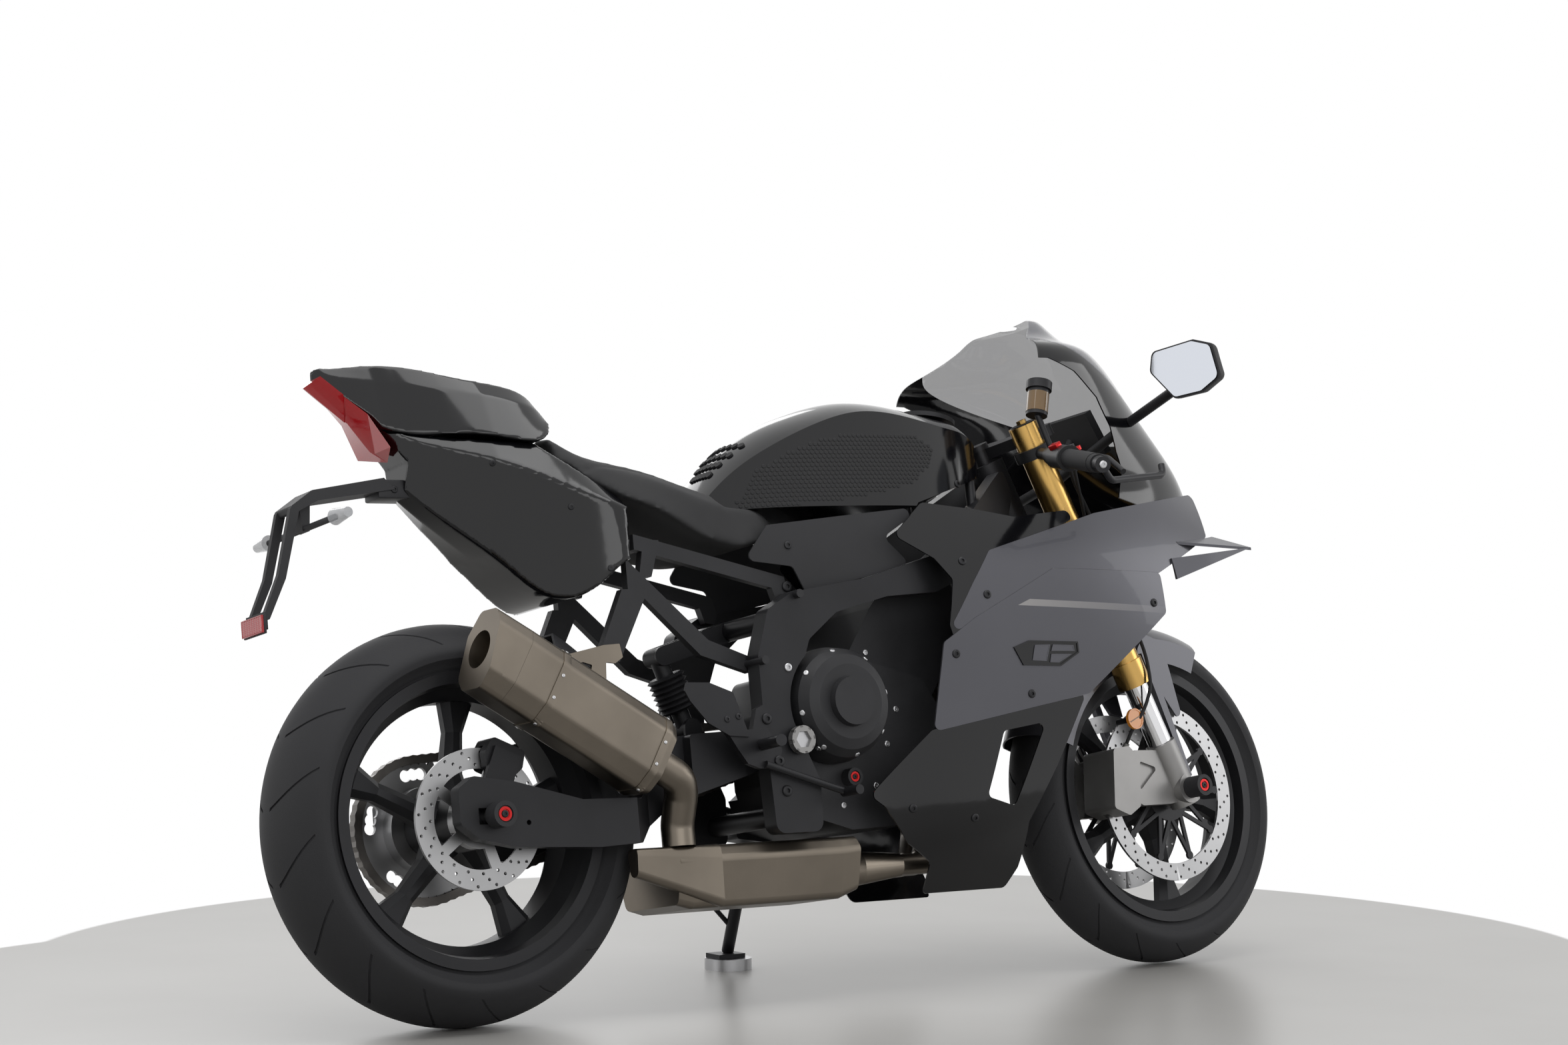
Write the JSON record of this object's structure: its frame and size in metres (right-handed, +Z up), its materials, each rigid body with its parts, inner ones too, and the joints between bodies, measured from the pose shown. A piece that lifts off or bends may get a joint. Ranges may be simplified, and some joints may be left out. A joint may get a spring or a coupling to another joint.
{
  "type": "fully faired sport motorcycle on its side stand",
  "caption": "Fully faired sport motorcycle with low clip-on bars, single-seat hump and winglets, parked leaning on its side stand, whose foot rests on a round aluminium block.",
  "frame": {"origin": "middle of the footprint's bounding box, on the ground", "axes": "+X to the front of the bike, +Y to the rider's left, +Z up; the bike leans to +Y on its side stand"},
  "size_m": [2.0364, 0.8762, 1.1688],
  "materials": {
    "tyre": "matt",
    "black_metal": "satin",
    "steel": "brushed",
    "gold": "anodised",
    "polished_steel": "polished",
    "grey_cast": "satin",
    "rubber": "matt",
    "grey_paint": "satin metallic",
    "dark_cast": "satin",
    "bare_aluminium": "machined",
    "matt_black": "matt",
    "chain_steel": "oiled",
    "titanium": "bead-blasted",
    "gloss_black": "gloss",
    "seat_cover": "matt",
    "smoked": "clear",
    "clear_lens": "clear",
    "mirror": "polished",
    "red_lens": "clear",
    "amber_lens": "clear"
  },
  "bodies": {
    "rear_wheel": {"rear_tyre": "tyre", "rear_rim": "black_metal", "rear_disc": "steel", "rear_sprocket": "steel"},
    "front_wheel": {"front_tyre": "tyre", "front_rim": "black_metal", "front_discs": "steel", "front_disc_carriers": "black_metal"},
    "steering": {"fork_outer_tubes": "gold", "fork_inner_tubes": "polished_steel", "fork_lugs": "grey_cast", "fork_yokes": "black_metal", "handlebars": "black_metal", "grips": "rubber", "bar_controls": "black_metal", "front_brake_hoses": "rubber", "front_axle": "steel", "front_calipers": "grey_cast", "front_fender": "grey_paint"},
    "chassis": {"main_frame": "black_metal", "engine": "dark_cast", "clutch_cover": "dark_cast", "generator_cover": "dark_cast", "swingarm": "black_metal", "swingarm_pivot": "bare_aluminium", "front_sprocket": "steel", "rear_axle": "steel", "rear_shock": "dark_cast", "rear_hugger": "matt_black", "rear_caliper": "black_metal", "footrests": "black_metal", "chain": "chain_steel", "collector_box": "titanium", "exhaust_headers": "titanium", "silencer": "titanium", "silencer_cap": "steel", "fuel_tank": "gloss_black", "seat": "seat_cover", "seat_hump": "gloss_black", "tail_body": "gloss_black", "side_fairings": "grey_paint", "lower_fairings": "gloss_black", "upper_fairings": "grey_paint", "inner_cowls": "gloss_black", "windscreen": "smoked", "upper_cowl": "gloss_black", "headlights": "clear_lens", "instrument_stay": "matt_black", "mirror_housings": "matt_black", "mirror_glass": "mirror", "winglets": "grey_paint", "tail_light": "red_lens", "plate_holder": "matt_black", "turn_signals": "amber_lens", "subframe": "dark_cast", "tank_side_covers": "matt_black", "radiator": "dark_cast", "stand_bracket": "black_metal", "stand_puck": "bare_aluminium"},
    "side_stand": {"side_stand": "black_metal"}
  },
  "joints": [
    {"name": "rear_wheel_spin", "type": "hinge", "parent": "chassis", "child": "rear_wheel", "pos_m": [-0.70086, -0.10911, 0.31225], "axis": [0, 0.9869, -0.1616], "continuous": true},
    {"name": "steering_turn", "type": "hinge", "parent": "chassis", "child": "steering", "pos_m": [0.47496, -0.02873, 0.80314], "axis": [-0.3843, 0.1492, 0.9111], "range_deg": [-28.4, 19.6]},
    {"name": "front_wheel_spin", "type": "hinge", "parent": "steering", "child": "front_wheel", "pos_m": [0.71906, -0.10938, 0.29707], "axis": [-0.0708, 0.9792, -0.1902], "continuous": true},
    {"name": "side_stand_fold", "type": "hinge", "parent": "chassis", "child": "side_stand", "pos_m": [-0.03286, 0.05135, 0.25254], "axis": [0.2135, 0.7586, 0.6156], "range_deg": [0, 98]}
  ]
}
